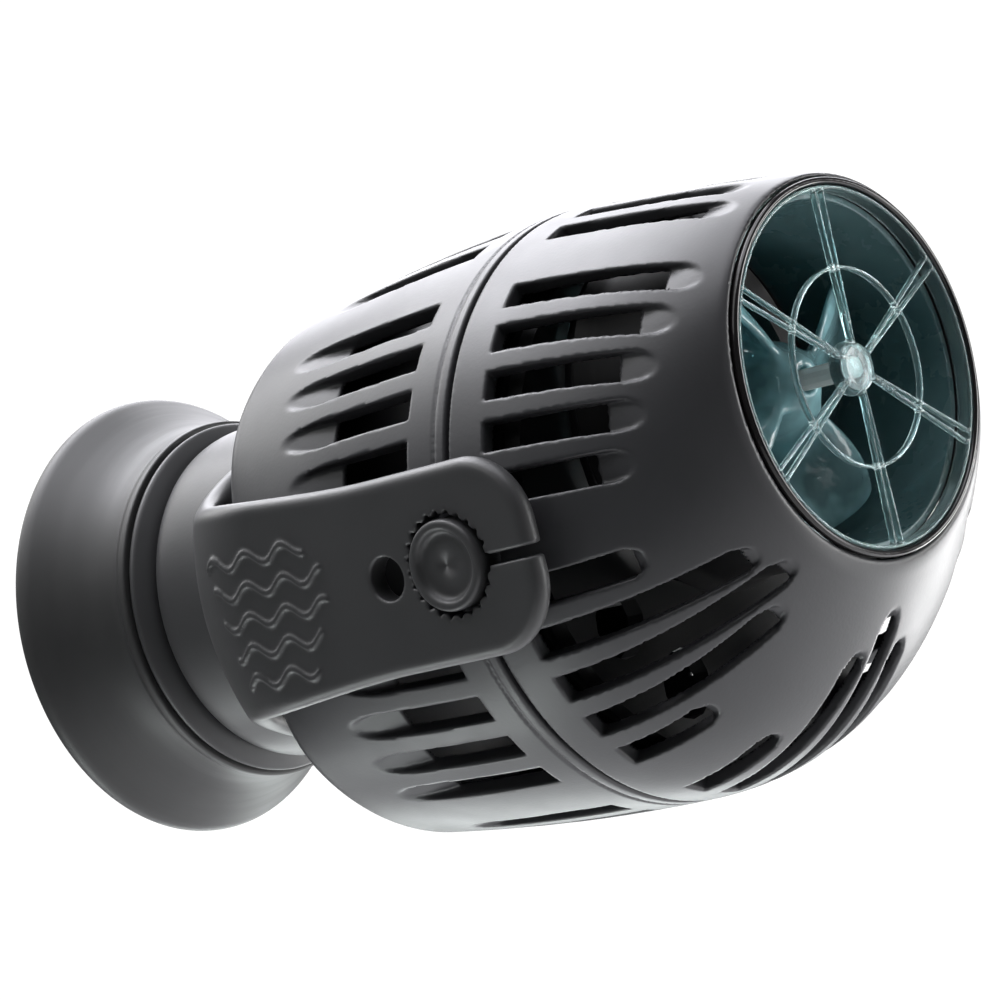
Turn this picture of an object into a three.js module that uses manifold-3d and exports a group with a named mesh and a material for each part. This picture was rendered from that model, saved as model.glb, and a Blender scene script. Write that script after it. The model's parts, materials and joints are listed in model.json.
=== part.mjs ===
// Aquarium wave maker pump on a magnetic suction-cup bracket.
//
// Millimetres, +Z up. The origin is the centre of the face that meets the glass, +X runs
// from the glass into the tank along the pump's length, and Y is the axis the pump tilts on.

import * as THREE from 'three';
import { mergeVertices } from 'three/addons/utils/BufferGeometryUtils.js';
import Module from 'manifold-3d';

// ---- Driving dimensions ---------------------------------------------------------------

const GAP = 0.3; // clearance between neighbouring pieces
const WALL = 2; // casing wall
const MOUTH_WALL = 1.1; // casing wall where it meets the outlet

// Pump casing: round at the seam, with a nose that narrows and bends upwards.
const SEAM_X = 79;
const CASING_RADIUS = 34;
const NOSE_LENGTH = 32.3;
const OUTLET_RADIUS = 21.35;
const OUTLET_RISE = 9.04; // height of the outlet and motor axis above the casing axis
const REAR_LENGTH = 40;
const REAR_TAPER = 2.3; // loss of radius from the seam to the rear corner
const REAR_CORNER = { length: 3.6, height: 5.5 };
const REAR_SAG = 0.024; // how far the rear drops for each millimetre behind the seam

// Intake slots, radial cuts in groups of five.
const SLOT_WIDTH = 3.3;
const SLOT_PITCH = 10; // degrees between neighbours
const FRONT_SLOT_START = 5;
const REAR_SLOT_START = 6;
const REAR_SLOT_END = 21;
// Where the five slots of each group end in front of the seam. The angle of a group's
// middle slot is counted from the camera-side pivot (-Y) up towards +Z.
const SIDE_UPPER = { middle: 30, ends: [19, 21, 22.5, 24, 26] };
const SIDE_LOWER = { middle: -30, ends: [14, 24, 27.5, 26, 17.5] };
const TOP = { middle: 90, ends: [26, 24, 23, 24, 26] };
const BOTTOM = { middle: -90, ends: [14, 22, 25, 22, 14] };

// Bracket: a fork on a round neck that swivels on the mount.
const PIVOT_X = 80;
const PIVOT_Z = -0.7;
const ARM_INNER_Y = 34.6;
const ARM_THICKNESS = 2.8;
const ARM_OUTER_Y = ARM_INNER_Y + ARM_THICKNESS;
const ARM_END_X = 91.9;
const ARM_TOP = 10.1;
const ARM_BOTTOM = -11.4;
const ARM_CORNER = 8;
const ARM_ROOT_SPREAD = 1.6; // extra height at the bends, above and below
const WEB_X = 32.6;
const WEB_THICKNESS = 2.7;
const FORK_BEND = 17;
// The web's half-height at distances from the middle: it flares like a goblet into the neck.
const WEB_FLARE = [[0, 19.5], [12, 18.5], [21, 15.5], [29, 13], [38, 12.4]];
const NECK_X = 17.2;
const NECK_RADIUS = 20.3;
const NECK_BORE = 17;
const SLIT_WIDTH = 1.3;
const SLIT_Z = -1.2;
const RELIEF_HOLE = { x: 70.9, radius: 2.4 };

// Pivot pins, held between the casing halves.
const PIN_HEAD_RADIUS = 5;
const PIN_HOLE_RADIUS = 5.5;
const PIN_SHANK_RADIUS = 2.4;
const COUPLING_FRONT_X = SEAM_X + 5;
const COUPLING_WALL = 1.6;
const COUPLING_RADIUS = CASING_RADIUS - WALL - 1; // clear of the nose, which narrows in front

// Mount: rubber cup over a magnet in its housing.
const CUP_RIM_RADIUS = 27.05;
const CUP_SHOULDER_RADIUS = 21.5;
const CUP_HEIGHT = 14.4;
const CUP_PAD_RADIUS = 12;
const CUP_FLOOR = 3;
const HOUSING_RADIUS = 16.7;
const MAGNET_RADIUS = 13.7;
const HOUSING_TOP_X = 16.8;
const SPIGOT_RADIUS = 5;
const SPIGOT_END_X = 32.2;
const SCREW_RADIUS = 2.2;

// Motor and drive line, about the outlet axis.
const MOTOR_RADIUS = 19.6;
const MOTOR_BACK_X = 48;
const MOTOR_FRONT_X = 88;
const MOTOR_WALL = 1.5;
const WELL_RADIUS = 6.6; // inside of the rotor well
const WELL_END_X = 62;
const SHAFT_RADIUS = 1.2;
const PROPELLER_RADIUS = 17.4;
const DUCT_RADIUS = 20.1;
const DUCT_WALL = 1;
const GUARD_X = 109.1;
const GUARD_THICKNESS = 2.2;
const GUARD_SPOKES = 6;
const GUARD_HUB = { radius: 3.4, cap: 0.7 };

// ---- Materials ------------------------------------------------------------------------

const surface = (color, roughness, metalness = 0, opacity = 1) =>
  new THREE.MeshStandardMaterial({ color, roughness, metalness, opacity, transparent: opacity < 1 });

const MATERIALS = {
  casing: () => surface(0x3a3b3d, 0.5),
  bracket: () => surface(0x3f4042, 0.5),
  gloss: () => surface(0x101112, 0.15),
  clear: () => surface(0x6fb4bf, 0.1, 0, 0.5),
  rubber: () => surface(0x2b2c2d, 0.65),
  resin: () => surface(0x17181a, 0.35),
  steel: () => surface(0xa9adb0, 0.3, 1),
  magnet: () => surface(0x55575a, 0.45, 0.6),
  ceramic: () => surface(0xe8e8e2, 0.25),
  copper: () => surface(0xb06a38, 0.4, 0.9),
};

// ---- Geometry helpers -----------------------------------------------------------------

const wasm = await Module();
wasm.setup();

const signedVolume = (position, index) => {
  const corner = [new THREE.Vector3(), new THREE.Vector3(), new THREE.Vector3()];
  let sum = 0;
  for (let i = 0; i < index.length; i += 3) {
    corner.forEach((point, k) => point.fromBufferAttribute(position, index[i + k]));
    sum += corner[0].dot(corner[1].cross(corner[2]));
  }
  return sum / 6;
};

// One closed surface with shared vertices, no collapsed triangles, facing outwards.
function closed(geometry) {
  const bare = geometry.clone();
  bare.deleteAttribute('normal');
  bare.deleteAttribute('uv');
  const merged = mergeVertices(bare, 1e-4);
  const index = [];
  for (let i = 0; i < merged.index.count; i += 3) {
    const [a, b, c] = [0, 1, 2].map((k) => merged.index.getX(i + k));
    if (a !== b && b !== c && c !== a) index.push(a, b, c);
  }
  if (signedVolume(merged.attributes.position, index) < 0) {
    index.reverse();
  }
  merged.setIndex(index);
  merged.computeVertexNormals();
  return merged;
}

function toSolid(geometry) {
  const body = closed(geometry);
  return new wasm.Manifold(
    new wasm.Mesh({
      numProp: 3,
      vertProperties: Float32Array.from(body.attributes.position.array),
      triVerts: Uint32Array.from(body.index.array),
    }),
  );
}

function toGeometry(solid) {
  const mesh = solid.getMesh();
  const geometry = new THREE.BufferGeometry();
  geometry.setAttribute('position', new THREE.BufferAttribute(mesh.vertProperties, 3));
  geometry.setIndex(new THREE.BufferAttribute(mesh.triVerts, 1));
  geometry.computeVertexNormals();
  return geometry;
}

const joined = (...pieces) => toGeometry(pieces.map(toSolid).reduce((a, b) => a.add(b)));

const cut = (piece, ...tools) =>
  toGeometry(tools.map(toSolid).reduce((a, b) => a.subtract(b), toSolid(piece)));

// A profile of [x, radius] points turned about the X axis.
function turned(profile, segments = 24) {
  const points = profile.map(([x, radius]) => new THREE.Vector2(radius, x));
  const lathe = new THREE.LatheGeometry(points, segments);
  return closed(lathe.rotateZ(-Math.PI / 2));
}

const disc = (x0, x1, radius, segments) =>
  turned([[x0, 0], [x0, radius], [x1, radius], [x1, 0]], segments);

const ring = (x0, x1, inner, outer, segments) =>
  turned([[x0, inner], [x0, outer], [x1, outer], [x1, inner], [x0, inner]], segments);

// A box between two opposite corners.
function block(low, high) {
  const size = high.map((value, i) => value - low[i]);
  const middle = high.map((value, i) => (value + low[i]) / 2);
  return new THREE.BoxGeometry(...size).translate(...middle);
}

// A plan outline in X and Y, raised along Z.
const raised = (shape, z0, z1, curveSegments = 6) =>
  new THREE.ExtrudeGeometry(shape, { depth: z1 - z0, bevelEnabled: false, curveSegments })
    .translate(0, 0, z0);

// A side outline in X and Z, given as X and Y of the shape, spread along Y.
const spread = (shape, y0, y1, curveSegments = 6) =>
  raised(shape, -y1, -y0, curveSegments).rotateX(Math.PI / 2);

// A cylinder along Y.
const crossPin = (x, z, radius, y0, y1, segments) =>
  disc(y0, y1, radius, segments).rotateZ(Math.PI / 2).translate(x, 0, z);

const steps = (count) => Array.from({ length: count + 1 }, (_, i) => i / count);

// ---- Casing shape ---------------------------------------------------------------------

// A cubic from one height to another with given slopes at its ends.
function blend(t, start, startSlope, end, endSlope) {
  const run = NOSE_LENGTH;
  return (
    (2 * t ** 3 - 3 * t ** 2 + 1) * start +
    (t ** 3 - 2 * t ** 2 + t) * run * startSlope +
    (3 * t ** 2 - 2 * t ** 3) * end +
    (t ** 3 - t ** 2) * run * endSlope
  );
}

const noseTop = (t) => blend(t, CASING_RADIUS, -0.105, OUTLET_RISE + OUTLET_RADIUS, -0.206);
const noseBottom = (t) => blend(t, -CASING_RADIUS, 0.026, OUTLET_RISE - OUTLET_RADIUS, 1.614);

// Radius and height of the casing's round section, at a distance in front of the seam.
function casingSection(x) {
  if (x >= 0) {
    const t = x / NOSE_LENGTH;
    return { radius: (noseTop(t) - noseBottom(t)) / 2, rise: (noseTop(t) + noseBottom(t)) / 2 };
  }
  const cornerStart = REAR_LENGTH - REAR_CORNER.length;
  const back = Math.min(-x, cornerStart) / cornerStart;
  const radius = CASING_RADIUS - REAR_TAPER * back ** 2;
  const around = Math.max(-x - cornerStart, 0) / REAR_CORNER.length;
  const lost = REAR_CORNER.height * (1 - Math.sqrt(Math.max(1 - around ** 2, 0)));
  return { radius: radius - lost, rise: REAR_SAG * x };
}

// A shell turned from casing stations, with each section set at its own height.
function casingShell(profile, segments = 36) {
  const geometry = turned(profile.map(([x, radius]) => [SEAM_X + x, radius]), segments);
  const position = geometry.attributes.position;
  for (let i = 0; i < position.count; i += 1) {
    const { rise } = casingSection(position.getX(i) - SEAM_X);
    position.setZ(i, position.getZ(i) + rise);
  }
  return geometry;
}

// A slot's cutter: a slab in a radial plane of the casing axis, with a round far end.
function slotCutter(angle, from, to) {
  const half = SLOT_WIDTH / 2;
  const shape = new THREE.Shape();
  shape.moveTo(from, -half);
  shape.lineTo(to - half, -half);
  shape.absarc(to - half, 0, half, -Math.PI / 2, Math.PI / 2);
  shape.lineTo(from, half);
  const reach = { inner: 10, outer: CASING_RADIUS + 10 };
  return raised(shape, reach.inner, reach.outer, 2)
    .rotateX(THREE.MathUtils.degToRad(90 - angle))
    .translate(SEAM_X, 0, 0);
}

const mirroredGroup = ({ middle, ends }) => ({ middle: 180 - middle, ends: [...ends].reverse() });
const SLOT_GROUPS = [
  SIDE_UPPER,
  SIDE_LOWER,
  TOP,
  BOTTOM,
  mirroredGroup(SIDE_UPPER),
  mirroredGroup(SIDE_LOWER),
];

const slotAngles = ({ middle, ends }) => ends.map((_, i) => middle + (i - 2) * SLOT_PITCH);

const frontSlots = () =>
  SLOT_GROUPS.flatMap((group) =>
    slotAngles(group).map((angle, i) => slotCutter(angle, FRONT_SLOT_START, group.ends[i])));

// The rear slots are the same cutters turned to face the other way.
const rearSlots = () =>
  SLOT_GROUPS.flatMap((group) =>
    slotAngles(group).map((angle) =>
      slotCutter(180 - angle, REAR_SLOT_START, REAR_SLOT_END)
        .translate(-SEAM_X, 0, 0)
        .rotateZ(Math.PI)
        .translate(SEAM_X, 0, 0)));

// ---- Casing pieces --------------------------------------------------------------------

const pinHoleTool = () => crossPin(PIVOT_X, PIVOT_Z, PIN_SHANK_RADIUS + GAP, -40, 40, 16);

function frontShell() {
  const mouth = NOSE_LENGTH - 1.2;
  const stations = (count) => steps(count).map((t) => GAP / 2 + t * (mouth - GAP / 2));
  const outer = stations(6).map((x) => [x, casingSection(x).radius]);
  const wall = (x) => WALL + (MOUTH_WALL - WALL) * (x / mouth);
  const inner = stations(3).reverse().map((x) => [x, casingSection(x).radius - wall(x)]);
  const shell = casingShell([...outer, ...inner, outer[0]]);
  return cut(shell, pinHoleTool(), ...frontSlots());
}

function rearShell() {
  const cornerStart = REAR_LENGTH - REAR_CORNER.length;
  const side = steps(3).map((t) => -GAP / 2 - t * (cornerStart - GAP / 2));
  const corner = steps(3).slice(1).map((t) => {
    return -cornerStart - REAR_CORNER.length * Math.sin((t * Math.PI) / 2);
  });
  const outer = [...side, ...corner].map((x) => [x, casingSection(x).radius]);
  const innerBack = -REAR_LENGTH + WALL;
  const inner = [
    [innerBack, 0],
    [innerBack, casingSection(-REAR_LENGTH).radius],
    [-cornerStart, casingSection(-cornerStart).radius - WALL],
    [-cornerStart / 2, casingSection(-cornerStart / 2).radius - WALL],
    [-GAP / 2, CASING_RADIUS - WALL],
  ];
  const shell = casingShell([...inner, ...outer, [-REAR_LENGTH, 0]]);
  return cut(shell, pinHoleTool(), glandHoleTool(), ...rearSlots());
}

// The ring inside the seam that both shells lock onto.
function couplingRing() {
  const inner = COUPLING_RADIUS - COUPLING_WALL;
  return cut(ring(SEAM_X - 4, COUPLING_FRONT_X, inner, COUPLING_RADIUS, 36), pinHoleTool());
}

// The pin's outer end is a low dome, and its flange bears on the coupling ring's inside.
function pivotPin(side) {
  const flangeY = COUPLING_RADIUS - COUPLING_WALL - 3 * GAP;
  const profile = [
    [flangeY - 1.2, 0],
    [flangeY - 1.2, PIN_SHANK_RADIUS + 1.4],
    [flangeY, PIN_SHANK_RADIUS + 1.4],
    [flangeY, PIN_SHANK_RADIUS],
    [CASING_RADIUS + GAP, PIN_SHANK_RADIUS],
    [CASING_RADIUS + GAP, PIN_HEAD_RADIUS],
    [ARM_OUTER_Y + 0.1, PIN_HEAD_RADIUS],
    [ARM_OUTER_Y + 0.7, PIN_HEAD_RADIUS - 1],
    [ARM_OUTER_Y + 0.9, 0],
  ];
  return turned(profile, 16).rotateZ((side * Math.PI) / 2).translate(PIVOT_X, 0, PIVOT_Z);
}

// ---- Cable gland ----------------------------------------------------------------------

// It points straight out through the solid land on the far lower side.
const GLAND = { x: SEAM_X - 14, angle: 30, radius: 3, bore: 1.4, inner: 28, outer: 37.5 };

// Turns a shape made about the X axis to run outwards at the gland's place.
const atGland = (geometry) =>
  geometry
    .rotateY(Math.PI / 2)
    .rotateX(THREE.MathUtils.degToRad(GLAND.angle))
    .translate(GLAND.x, 0, 0);

const glandHoleTool = () =>
  atGland(disc(GLAND.inner - 2, GLAND.outer + 2, GLAND.radius + GAP, 16));

const cableGland = () => atGland(turned([
  [GLAND.inner, GLAND.bore],
  [GLAND.inner, GLAND.radius],
  [GLAND.outer - 1.4, GLAND.radius],
  [GLAND.outer, GLAND.radius - 0.9],
  [GLAND.outer, GLAND.bore],
  [GLAND.inner, GLAND.bore],
], 14));

// ---- Outlet ---------------------------------------------------------------------------

function outletRing() {
  const lipX = SEAM_X + NOSE_LENGTH;
  return ring(lipX - 0.6, lipX + 0.3, DUCT_RADIUS + GAP, OUTLET_RADIUS, 36);
}

// A tube around the propeller, with a flared inlet.
const outletDuct = () => turned([
  [88.4, DUCT_RADIUS + 0.2],
  [90, DUCT_RADIUS - DUCT_WALL],
  [GUARD_X - GAP, DUCT_RADIUS - DUCT_WALL],
  [GUARD_X - GAP, DUCT_RADIUS],
  [90.4, DUCT_RADIUS],
  [88.4, DUCT_RADIUS + 1],
  [88.4, DUCT_RADIUS + 0.2],
], 30);

// Two rings and six ribs around a hub that is closed in front.
function outletGuard() {
  const frontX = GUARD_X + GUARD_THICKNESS;
  const rimInner = DUCT_RADIUS - 1;
  const bore = SHAFT_RADIUS + 1.3;
  const hub = turned([
    [GUARD_X, bore],
    [GUARD_X, GUARD_HUB.radius],
    [frontX, GUARD_HUB.radius - 0.4],
    [frontX, 0],
    [frontX - GUARD_HUB.cap, 0],
    [frontX - GUARD_HUB.cap, bore],
    [GUARD_X, bore],
  ], 12);
  const rib = (i) =>
    block([GUARD_X, -0.4, GUARD_HUB.radius - 0.6], [frontX, 0.4, rimInner + GAP])
      .rotateX((i * 2 * Math.PI) / GUARD_SPOKES);
  const ribs = Array.from({ length: GUARD_SPOKES }, (_, i) => rib(i));
  return joined(
    ring(GUARD_X, frontX, rimInner, DUCT_RADIUS, 30),
    ring(GUARD_X, frontX, 10.6, 11.3, 24),
    hub,
    ...ribs,
  );
}

// ---- Drive line -----------------------------------------------------------------------

function propeller() {
  const hub = turned([
    [84.3, SHAFT_RADIUS + GAP],
    [84.3, 3.5],
    [89.5, 3.5],
    [90, 5.5],
    [100, 5.5],
    [104, 3],
    [104, SHAFT_RADIUS + GAP],
    [84.3, SHAFT_RADIUS + GAP],
  ], 16);
  const chord = 12;
  const thickness = 1.2;
  const pitch = THREE.MathUtils.degToRad(38);
  const blade = (i) =>
    block([-chord / 2, -thickness / 2, 5], [chord / 2, thickness / 2, PROPELLER_RADIUS])
      .rotateZ(pitch)
      .translate(96, 0, 0)
      .rotateX((i * Math.PI) / 2);
  return joined(hub, ...[0, 1, 2, 3].map(blade));
}

const rotorMagnet = () => ring(WELL_END_X + 3, MOTOR_FRONT_X - 4, SHAFT_RADIUS + GAP, 6, 24);

const SHAFT_END_X = GUARD_X + GUARD_THICKNESS - GUARD_HUB.cap - GAP;

const rotorShaft = () => disc(WELL_END_X + GAP, SHAFT_END_X, SHAFT_RADIUS, 12);

const rearBushing = () =>
  ring(WELL_END_X + GAP, WELL_END_X + 2.4, SHAFT_RADIUS + GAP, WELL_RADIUS - GAP, 16);

const frontBushing = () =>
  ring(GUARD_X, SHAFT_END_X, SHAFT_RADIUS + GAP, SHAFT_RADIUS + 1, 12);

// ---- Motor ----------------------------------------------------------------------------

// The can has a blind well for the rotor in its front and is open at the back.
function motorCan() {
  const inside = MOTOR_RADIUS - MOTOR_WALL;
  return turned([
    [WELL_END_X - 1, 0],
    [WELL_END_X - 1, WELL_RADIUS + 1],
    [MOTOR_FRONT_X - MOTOR_WALL, WELL_RADIUS + 1],
    [MOTOR_FRONT_X - MOTOR_WALL, inside],
    [MOTOR_BACK_X, inside],
    [MOTOR_BACK_X, MOTOR_RADIUS],
    [MOTOR_FRONT_X - 1, MOTOR_RADIUS],
    [MOTOR_FRONT_X, MOTOR_RADIUS - 1],
    [MOTOR_FRONT_X, WELL_RADIUS],
    [WELL_END_X, WELL_RADIUS],
    [WELL_END_X, 0],
  ], 24);
}

function motorCap() {
  const outer = MOTOR_RADIUS - MOTOR_WALL - GAP;
  return turned([
    [MOTOR_BACK_X + 0.2, 0],
    [MOTOR_BACK_X + 0.2, outer],
    [MOTOR_BACK_X + 0.9, outer],
    [MOTOR_BACK_X + 0.9, outer - 1.2],
    [MOTOR_BACK_X + 2.1, outer - 1.2],
    [MOTOR_BACK_X + 2.1, 0],
  ], 24);
}

function motorCapSeal() {
  const outer = MOTOR_RADIUS - MOTOR_WALL - GAP;
  return ring(MOTOR_BACK_X + 1.2, MOTOR_BACK_X + 2.1, outer - 0.9, outer, 24);
}

const CORE = { inner: 8, outer: 11.5, half: 5, backX: 50.6, yoke: 3, frontX: 86 };
const COIL = { backX: 54, frontX: 60.6, wound: 1.7 };

function statorCore() {
  const limb = (side) => {
    const sides = [side * CORE.inner, side * CORE.outer].sort((a, b) => a - b);
    return block([CORE.backX, sides[0], -CORE.half], [CORE.frontX, sides[1], CORE.half]);
  };
  const yoke = block(
    [CORE.backX, -CORE.outer, -CORE.half],
    [CORE.backX + CORE.yoke, CORE.outer, CORE.half],
  );
  return joined(limb(-1), limb(1), yoke);
}

function statorCoil(side) {
  const bar = (margin, x0, x1) => {
    const sides = [side * (CORE.inner - margin), side * (CORE.outer + margin)].sort((a, b) => a - b);
    return block([x0, sides[0], -CORE.half - margin], [x1, sides[1], CORE.half + margin]);
  };
  const winding = bar(COIL.wound, COIL.backX, COIL.frontX);
  return cut(winding, bar(GAP, COIL.backX - 1, COIL.frontX + 1));
}

// A round plate in front of the coupling ring that carries the motor, with ports under it.
function motorSupport() {
  const x = [COUPLING_FRONT_X + GAP, COUPLING_FRONT_X + 2.5];
  const plate = disc(x[0], x[1], COUPLING_RADIUS - 2 * GAP, 36);
  const bore = disc(x[0] - 1, x[1] + 1, MOTOR_RADIUS + GAP + 0.2, 24).translate(0, 0, OUTLET_RISE);
  const port = (angle) =>
    disc(x[0] - 1, x[1] + 1, 4, 14)
      .translate(0, 0, -23)
      .rotateX(THREE.MathUtils.degToRad(angle));
  return cut(plate, bore, ...[-60, -30, 0, 30, 60].map(port));
}

// ---- Bracket --------------------------------------------------------------------------

// The fork seen from above: a U with round bends, open towards the tank.
function forkPlan(outset) {
  const y = ARM_OUTER_Y - outset;
  const x = WEB_X + outset;
  const bend = FORK_BEND - outset;
  const shape = new THREE.Shape();
  shape.moveTo(ARM_END_X + 1, y);
  shape.lineTo(x + bend, y);
  shape.absarc(x + bend, y - bend, bend, Math.PI / 2, Math.PI);
  shape.lineTo(x, bend - y);
  shape.absarc(x + bend, bend - y, bend, Math.PI, 1.5 * Math.PI);
  shape.lineTo(ARM_END_X + 1, -y);
  return shape;
}

// The fork seen from the side: arms with round front corners that spread towards the web.
function forkSide() {
  const shape = new THREE.Shape();
  const cornerX = ARM_END_X - ARM_CORNER;
  const top = ARM_TOP + ARM_ROOT_SPREAD;
  const bottom = ARM_BOTTOM - ARM_ROOT_SPREAD;
  shape.moveTo(WEB_X - 1, top);
  shape.lineTo(WEB_X - 1, bottom);
  shape.lineTo(WEB_X + FORK_BEND, bottom);
  shape.lineTo(PIVOT_X - ARM_CORNER, ARM_BOTTOM);
  shape.lineTo(cornerX, ARM_BOTTOM);
  shape.absarc(cornerX, ARM_BOTTOM + ARM_CORNER, ARM_CORNER, -Math.PI / 2, 0);
  shape.absarc(cornerX, ARM_TOP - ARM_CORNER, ARM_CORNER, 0, Math.PI / 2);
  shape.lineTo(PIVOT_X - ARM_CORNER, ARM_TOP);
  shape.lineTo(WEB_X + FORK_BEND, top);
  return shape;
}

// The web seen from the tank, flaring from the bends towards the neck.
function webFace() {
  const corner = (side, edge) => ([y, z]) => new THREE.Vector2(side * y, edge * z);
  const inward = [...WEB_FLARE].reverse();
  return new THREE.Shape([
    ...WEB_FLARE.map(corner(1, 1)),
    ...inward.map(corner(1, -1)),
    ...WEB_FLARE.slice(1).map(corner(-1, -1)),
    ...inward.slice(0, -1).map(corner(-1, 1)),
  ]);
}

function bracketFork() {
  const tall = 30;
  const band = toSolid(raised(forkPlan(0), -tall, tall))
    .subtract(toSolid(raised(forkPlan(WEB_THICKNESS), -tall - 1, tall + 1)));
  const web = raised(webFace(), WEB_X - 1, WEB_X + FORK_BEND).rotateX(Math.PI / 2)
    .rotateZ(Math.PI / 2);
  const outline = toSolid(spread(forkSide(), -50, 50)).add(toSolid(web));
  const webInnerX = WEB_X + WEB_THICKNESS;
  const neck = turned([
    [NECK_X, 0],
    [NECK_X, NECK_RADIUS - 0.8],
    [NECK_X + 1.5, NECK_RADIUS],
    [webInnerX - 1.2, NECK_RADIUS],
    [webInnerX, NECK_RADIUS - 1],
    [webInnerX, 0],
  ], 36);
  const hollow = disc(NECK_X - 1, WEB_X - 5.6, NECK_BORE, 24);
  const bore = disc(NECK_X - 1, webInnerX + 1, SPIGOT_RADIUS + GAP, 16);
  const recess = disc(SPIGOT_END_X - 0.4, webInnerX + 1, 8.2, 16);
  const pinHoles = crossPin(PIVOT_X, PIVOT_Z, PIN_HOLE_RADIUS, -50, 50, 16);
  const reliefHoles = crossPin(RELIEF_HOLE.x, PIVOT_Z, RELIEF_HOLE.radius, -50, 50, 12);
  const slit = block(
    [PIVOT_X, -50, SLIT_Z - SLIT_WIDTH / 2],
    [ARM_END_X + 1, 50, SLIT_Z + SLIT_WIDTH / 2],
  );
  const tools = [hollow, bore, recess, pinHoles, reliefHoles, slit].map(toSolid);
  const solid = band.intersect(outline).add(toSolid(neck));
  return toGeometry(tools.reduce((a, b) => a.subtract(b), solid));
}

// ---- Mount ----------------------------------------------------------------------------

// A flared skirt with a flat centre pad and a shallow ring-shaped hollow that grips the glass.
const suctionCup = () => turned([
  [0, 0],
  [0, CUP_PAD_RADIUS],
  [1.6, CUP_PAD_RADIUS + 1.5],
  [2, CUP_RIM_RADIUS - 6],
  [0.6, CUP_RIM_RADIUS - 2],
  [0.4, CUP_RIM_RADIUS - 0.6],
  [1.5, CUP_RIM_RADIUS],
  [2.8, CUP_RIM_RADIUS - 0.4],
  [5, CUP_RIM_RADIUS - 2.4],
  [8.5, CUP_SHOULDER_RADIUS + 1.4],
  [12, CUP_SHOULDER_RADIUS + 0.2],
  [CUP_HEIGHT, CUP_SHOULDER_RADIUS],
  [CUP_HEIGHT, HOUSING_RADIUS + GAP],
  [CUP_FLOOR, HOUSING_RADIUS + GAP],
  [CUP_FLOOR, 0],
], 32);

// A pot for the magnet, open towards the glass, with the spigot the bracket swivels on.
function magnetHousing() {
  const bottom = CUP_FLOOR + GAP;
  return turned([
    [12, 0],
    [12, MAGNET_RADIUS + GAP],
    [bottom, MAGNET_RADIUS + GAP],
    [bottom, HOUSING_RADIUS],
    [CUP_HEIGHT + GAP, HOUSING_RADIUS],
    [CUP_HEIGHT + GAP, CUP_SHOULDER_RADIUS - 0.3],
    [CUP_HEIGHT + 1.4, CUP_SHOULDER_RADIUS - 0.1],
    [HOUSING_TOP_X, NECK_RADIUS - 0.4],
    [HOUSING_TOP_X, MAGNET_RADIUS],
    [HOUSING_TOP_X + 2.5, MAGNET_RADIUS],
    [HOUSING_TOP_X + 2.5, SPIGOT_RADIUS],
    [SPIGOT_END_X, SPIGOT_RADIUS],
    [SPIGOT_END_X, SCREW_RADIUS + GAP],
    [21.5, SCREW_RADIUS + GAP],
    [21.5, 0],
  ], 30);
}

const mountMagnet = () => disc(5.6, 12 - GAP, MAGNET_RADIUS, 24);

const magnetCover = () => disc(CUP_FLOOR + GAP, 5.3, MAGNET_RADIUS, 24);

const swivelFrictionRing = () =>
  ring(HOUSING_TOP_X + GAP, HOUSING_TOP_X + 2.5, MAGNET_RADIUS + GAP, NECK_BORE - GAP, 24);

const swivelWasher = () =>
  ring(SPIGOT_END_X + GAP, SPIGOT_END_X + 1, SCREW_RADIUS + GAP, 7.7, 16);

const swivelScrew = () => turned([
  [22.5, 0],
  [22.5, SCREW_RADIUS],
  [SPIGOT_END_X + 1 + GAP, SCREW_RADIUS],
  [SPIGOT_END_X + 1 + GAP, 4.4],
  [SPIGOT_END_X + 2.3, 4.4],
  [SPIGOT_END_X + 2.9, 3.4],
  [SPIGOT_END_X + 2.9, 0],
], 16);

// ---- Assembly -------------------------------------------------------------------------

function addTo(group, pieces) {
  for (const [name, material, geometry] of pieces) {
    const mesh = new THREE.Mesh(closed(geometry), MATERIALS[material]());
    mesh.name = name;
    group.add(mesh);
  }
  return group;
}

const mount = addTo(new THREE.Group(), [
  ['suction_cup', 'rubber', suctionCup()],
  ['magnet_housing', 'bracket', magnetHousing()],
  ['mount_magnet', 'magnet', mountMagnet()],
  ['magnet_cover', 'resin', magnetCover()],
  ['swivel_friction_ring', 'rubber', swivelFrictionRing()],
  ['swivel_washer', 'steel', swivelWasher()],
  ['swivel_screw', 'steel', swivelScrew()],
]);

const bracket = addTo(new THREE.Group(), [['bracket_fork', 'bracket', bracketFork()]]);

const pump = addTo(new THREE.Group(), [
  ['front_shell', 'casing', frontShell()],
  ['rear_shell', 'casing', rearShell()],
  ['coupling_ring', 'gloss', couplingRing()],
  ['pivot_pin_near', 'bracket', pivotPin(-1)],
  ['pivot_pin_far', 'bracket', pivotPin(1)],
  ['motor_support', 'resin', motorSupport()],
  ['cable_gland', 'rubber', cableGland()],
]);

const driveLine = addTo(new THREE.Group(), [
  ['outlet_ring', 'gloss', outletRing()],
  ['outlet_duct', 'gloss', outletDuct()],
  ['outlet_guard', 'clear', outletGuard()],
  ['motor_can', 'resin', motorCan()],
  ['motor_cap', 'resin', motorCap()],
  ['motor_cap_seal', 'rubber', motorCapSeal()],
  ['stator_core', 'steel', statorCore()],
  ['stator_coil_near', 'copper', statorCoil(-1)],
  ['stator_coil_far', 'copper', statorCoil(1)],
  ['rotor_shaft', 'ceramic', rotorShaft()],
  ['rear_bushing', 'rubber', rearBushing()],
  ['front_bushing', 'rubber', frontBushing()],
  ['rotor_magnet', 'magnet', rotorMagnet()],
  ['propeller', 'clear', propeller()],
]);
driveLine.position.z = OUTLET_RISE;
pump.add(driveLine);

const waveMaker = new THREE.Group();
waveMaker.add(mount, bracket, pump);

export default waveMaker;
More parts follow.
